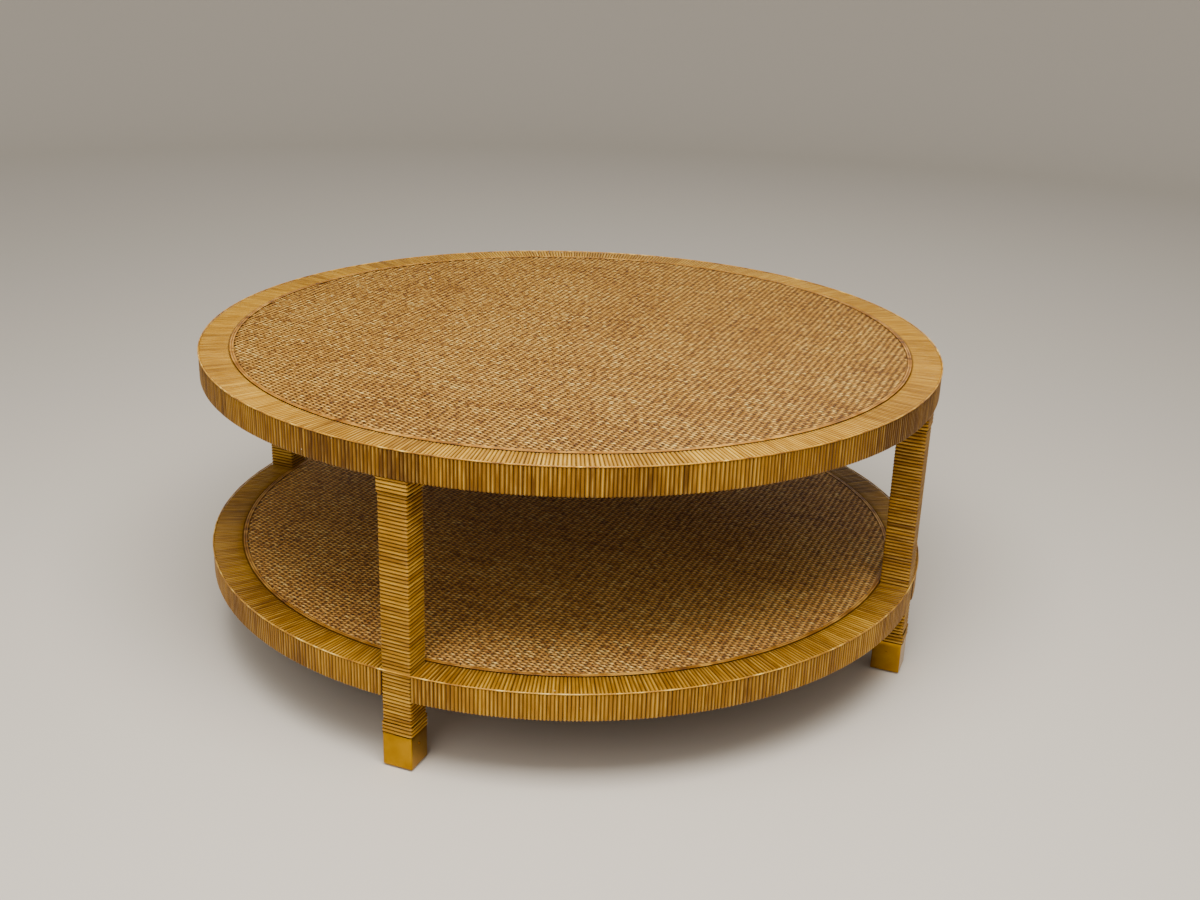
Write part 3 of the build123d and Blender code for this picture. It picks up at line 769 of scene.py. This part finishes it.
def brass_cap(leg):
    """A square brass shoe with rounded corners and rolled edges, open at the top round the post."""
    node = f"leg_{leg}_brass_cap"
    low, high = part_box(node)
    centre = np.array([(low.x + high.x) / 2, (low.y + high.y) / 2, 0.0])
    half = (high.x - low.x) / 2
    loop, outward = square_loop(half, CAP_CORNER, 10, 5)
    n = len(loop)
    profile = [(half, 0.0), (8 * MM, 0.0), (CAP_ROLL, 0.0)]
    for degrees in (-67, -45, -22, 0):
        a = math.radians(degrees)
        profile.append((CAP_ROLL * (1 - math.cos(a)), CAP_ROLL * (1 + math.sin(a))))
    tall = high.z - low.z
    for share in (0.1, 0.25, 0.4, 0.55, 0.7, 0.85):
        profile.append((0.0, tall * share))
    profile += [(0.0, tall - CAP_LIP), (0.3 * CAP_LIP, tall - 0.3 * CAP_LIP), (CAP_LIP, tall)]
    profile += [(CAP_WALL - CAP_LIP, tall), (CAP_WALL, tall - CAP_LIP), (CAP_WALL, tall - 3 * MM)]
    dents = [CAP_DENT * smooth_noise(n, 8, closed=True) for _ in profile]
    points = np.empty((n, len(profile), 3))
    for k, (inset, z) in enumerate(profile):
        scale = (half - inset) / half
        on_side = 7 <= k <= 12
        dent = np.abs(dents[k]) if on_side else np.zeros(n)
        inner = loop * scale if inset > 2 * CAP_WALL else loop - outward * inset
        points[:, k] = centre + inner - outward * dent[:, None]
        points[:, k, 2] = low.z + z
    strands = Strands()
    along = np.linspace(0, 8 * half, n)
    across = np.array([z for inset, z in profile])
    strands.add(points, 0.5, along[:, None], across[None, :], 1.0, closed_rows=True)
    strands.build(f"leg_{leg}_brass_shoe", brass, [node])


# ---- Build it ----

weave(top_tier, top_weave)
weave(shelf_tier, shelf_weave)
leg_angles = [math.radians(a) for a in LEG_ANGLES.values()]
border(top_tier, "top_border_reeds", 0.0, 2 * math.pi, ["top_edge_wrap"], leg_angles, False, 0.5, 0.34)
slot_angle = math.asin(notch_half / shelf_radius)
for quarter, degrees in QUARTERS.items():
    begin = math.radians(degrees)
    border(
        shelf_tier, f"shelf_border_reeds_{quarter}", begin + slot_angle, begin + math.pi / 2 - slot_angle,
        [f"shelf_edge_wrap_{quarter}"], [], True, 0.4, 0.0,
    )
cane_strip(top_tier)
cane_strip(shelf_tier)
top_bead()
shelf_bead()
for leg in LEG_ANGLES:
    winding(f"leg_{leg}_winding", f"leg_{leg}_wrap", LEG_PITCH, LEG_REED_HEIGHT, 0.0)
    for end in ("top", "bottom"):
        node = f"leg_{leg}_{end}_collar"
        winding(f"{node}_turns", node, LEG_PITCH, COLLAR_REED_HEIGHT, 0.06)
    brass_cap(leg)

NODE_MATERIALS = {
    "_deck": plywood,
    "_rim_segments": rim_wood,
    "_batten_left_right": batten_x,
    "_batten_front_back": batten_y,
    "_post": post_wood,
    "_glide": nylon,
    "_screws": steel,
    "_brads": steel,
    "glide_nails": steel,
    "brass_cap_pins": brass,
    "block_right": batten_x,
    "block_left": batten_x,
    "block_back": batten_y,
    "block_front": batten_y,
}
for node_name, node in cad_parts.items():
    for ending, material in NODE_MATERIALS.items():
        if node_name.endswith(ending):
            node.data.materials.clear()
            node.data.materials.append(material)


# ---- Floor, light and camera ----


FLOOR_FLAT = 4.5  # where the curve up starts
COVE = 1.2  # the radius of that curve
FLOOR_DROP = 0.2 * MM  # keeps the floor clear of the glides' undersides
BACKDROP_TOP = 1.6
FLOOR_SIDES = 96


def plain_material(name, colour, roughness):
    n = Nodes(name)
    source = n.new("ShaderNodeRGB")
    source.outputs[0].default_value = colour
    return n.finish(source.outputs[0], roughness)


def make_floor():
    """A flat disc whose far rim curves up into a plain backdrop."""
    profile = [(0.5, 0.0), (1.5, 0.0), (3.0, 0.0), (FLOOR_FLAT, 0.0)]
    for step in range(1, 13):
        a = math.radians(90 * step / 12)
        profile.append((FLOOR_FLAT + COVE * math.sin(a), COVE * (1 - math.cos(a))))
    profile.append((FLOOR_FLAT + COVE, BACKDROP_TOP))
    a = np.arange(FLOOR_SIDES) / FLOOR_SIDES * 2 * math.pi
    points = [(r * math.cos(t), r * math.sin(t), z) for r, z in profile for t in a]
    grid = quad_grid(len(profile), FLOOR_SIDES, 0, False, True)
    mesh = bpy.data.meshes.new("floor")
    faces = [tuple(int(v) for v in quad) for quad in grid]
    mesh.from_pydata(points, [], faces + [tuple(range(FLOOR_SIDES))])
    mesh.polygons.foreach_set("use_smooth", np.ones(len(faces) + 1, bool))
    mesh.materials.append(plain_material("floor", rgb(214, 205, 191), 0.6))
    floor = bpy.data.objects.new("floor", mesh)
    floor.location.z = -FLOOR_DROP
    bpy.context.collection.objects.link(floor)


make_floor()

world = bpy.data.worlds.new("studio")
world.use_nodes = True
sky = world.node_tree.nodes["Background"]
sky.inputs["Color"].default_value = (0.92, 0.91, 0.89, 1)
sky.inputs["Strength"].default_value = 0.46
bpy.context.scene.world = world


def area_light(name, position, target, size, watts, colour):
    data = bpy.data.lights.new(name, "AREA")
    data.shape = "RECTANGLE"
    data.size, data.size_y = size
    data.energy = watts
    data.color = colour
    lamp = bpy.data.objects.new(name, data)
    lamp.location = position
    aim = Vector(target) - Vector(position)
    lamp.rotation_euler = aim.to_track_quat("-Z", "Y").to_euler()
    bpy.context.collection.objects.link(lamp)


CAMERA_PLACE = Vector((0.781265, -1.845292, 1.014753))
CAMERA_HEADING = 21.647  # degrees, anticlockwise from looking along +Y
CAMERA_TILT = -20.928  # degrees, below level
CAMERA_ROLL = 1.891
turned = Matrix.Rotation(math.radians(CAMERA_HEADING), 4, "Z")
tilted = Matrix.Rotation(math.radians(90 + CAMERA_TILT), 4, "X")
rolled = Matrix.Rotation(math.radians(CAMERA_ROLL), 4, "Z")
camera_turn = turned @ tilted @ rolled
ahead = camera_turn @ Vector((0, 0, -1))
right = camera_turn @ Vector((1, 0, 0))
flat_ahead = Vector((ahead.x, ahead.y, 0)).normalized()
flat_right = Vector((right.x, right.y, 0)).normalized()


def stage_point(right, ahead, height):
    """A point by its distance right of and beyond the table, as the camera sees it."""
    return flat_right * right + flat_ahead * ahead + Vector((0, 0, height))


area_light("window", stage_point(-0.8, -2.6, 2.2), (0, 0, 0.3), (2.0, 1.6), 25, (1.0, 0.985, 0.96))
area_light("fill", stage_point(-0.7, -3.2, 0.6), (0, 0, 0.1), (2.4, 0.8), 11, (1.0, 0.97, 0.93))
area_light("ceiling", stage_point(0.05, -0.95, 2.1), (0, 0, 0.3), (1.6, 1.2), 78, (1.0, 0.98, 0.95))
area_light("back", stage_point(0.7, 2.7, 2.3), (0, 0, 0.2), (2.2, 1.0), 12, (1.0, 0.98, 0.95))

camera_data = bpy.data.cameras.new("camera")
camera_data.lens = 42.37
camera_data.sensor_width = 36.0
camera_data.clip_start = 0.05
camera = bpy.data.objects.new("camera", camera_data)
camera.matrix_world = Matrix.Translation(CAMERA_PLACE) @ camera_turn
bpy.context.collection.objects.link(camera)
bpy.context.scene.camera = camera
